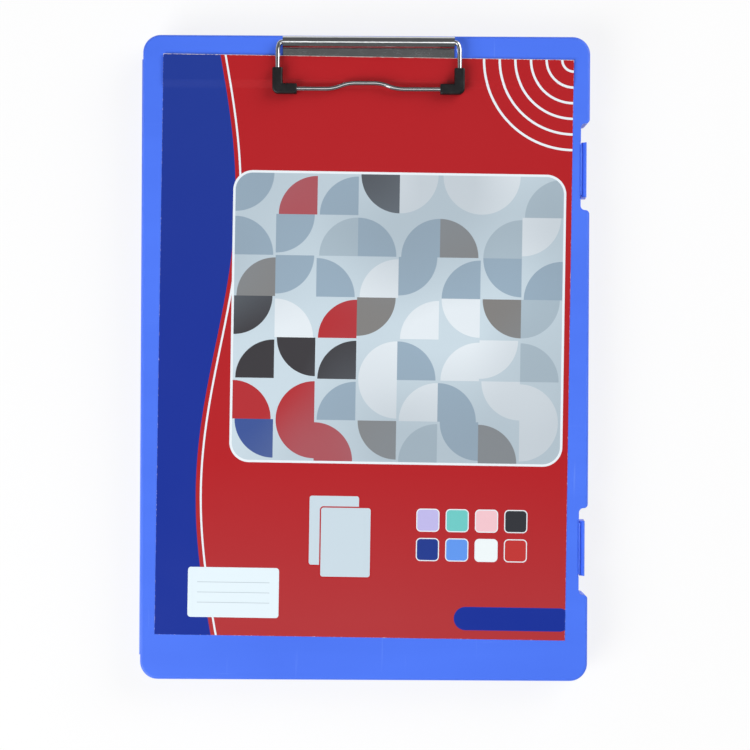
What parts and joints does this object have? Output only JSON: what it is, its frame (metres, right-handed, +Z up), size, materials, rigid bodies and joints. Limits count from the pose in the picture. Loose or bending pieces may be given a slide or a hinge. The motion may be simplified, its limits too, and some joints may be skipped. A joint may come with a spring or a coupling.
{
  "type": "storage clipboard box",
  "caption": "Flat hinged document box for A4 sheets whose lid is a clipboard with a wire clip, with snap latches along one side.",
  "frame": {"origin": "middle of the footprint on the table, under the flat bottom of the tray", "axes": "+X from the hinge side to the latch side, +Y towards the clip, +Z up out of the lid"},
  "size_m": [0.23, 0.33, 0.0268],
  "materials": {
    "shell": "fine matte moulded polypropylene",
    "chrome": "bright chrome plate on spring steel",
    "rivets": "zinc plated steel",
    "sleeve": "satin black moulded plastic",
    "card": "coated printed card"
  },
  "bodies": {
    "base": {"tray_floor": "shell", "tray_walls": "shell", "tray_side": "shell", "tray_recess_upper": "shell", "tray_recess_lower": "shell", "tray_divider": "shell", "hinge_web": "shell"},
    "lid": {"lid_panel": "shell", "lid_rim": "shell", "latch_web_upper": "shell", "latch_web_lower": "shell", "clip_plate": "chrome", "rivet_left": "rivets", "rivet_right": "rivets", "washer_left": "rivets", "washer_right": "rivets", "insert_card": "card"},
    "latch_flap_upper": {"latch_upper": "shell"},
    "latch_flap_lower": {"latch_lower": "shell"},
    "bail": {"clip_bail": "chrome", "clip_sleeve_left": "sleeve", "clip_sleeve_right": "sleeve"}
  },
  "joints": [
    {"name": "lid_hinge", "type": "hinge", "parent": "base", "child": "lid", "pos_m": [-0.11445, 0, 0.01515], "axis": [0, -1, 0], "range_deg": [0, 180], "deforming": ["hinge_web"]},
    {"name": "latch_upper_fold", "type": "hinge", "parent": "lid", "child": "latch_flap_upper", "pos_m": [0.11065, 0.097, 0.0188], "axis": [0, -1, 0], "range_deg": [-3.4, 90], "deforming": ["latch_web_upper"]},
    {"name": "latch_lower_fold", "type": "hinge", "parent": "lid", "child": "latch_flap_lower", "pos_m": [0.11065, -0.097, 0.0188], "axis": [0, -1, 0], "range_deg": [-3.4, 90], "deforming": ["latch_web_lower"]},
    {"name": "bail_lift", "type": "hinge", "parent": "lid", "child": "bail", "pos_m": [0.0015, 0.16088, 0.02382], "axis": [-1, 0, 0], "range_deg": [0, 100], "stiffness_Nm_per_rad": 0.08, "springref_deg": -143.24}
  ]
}
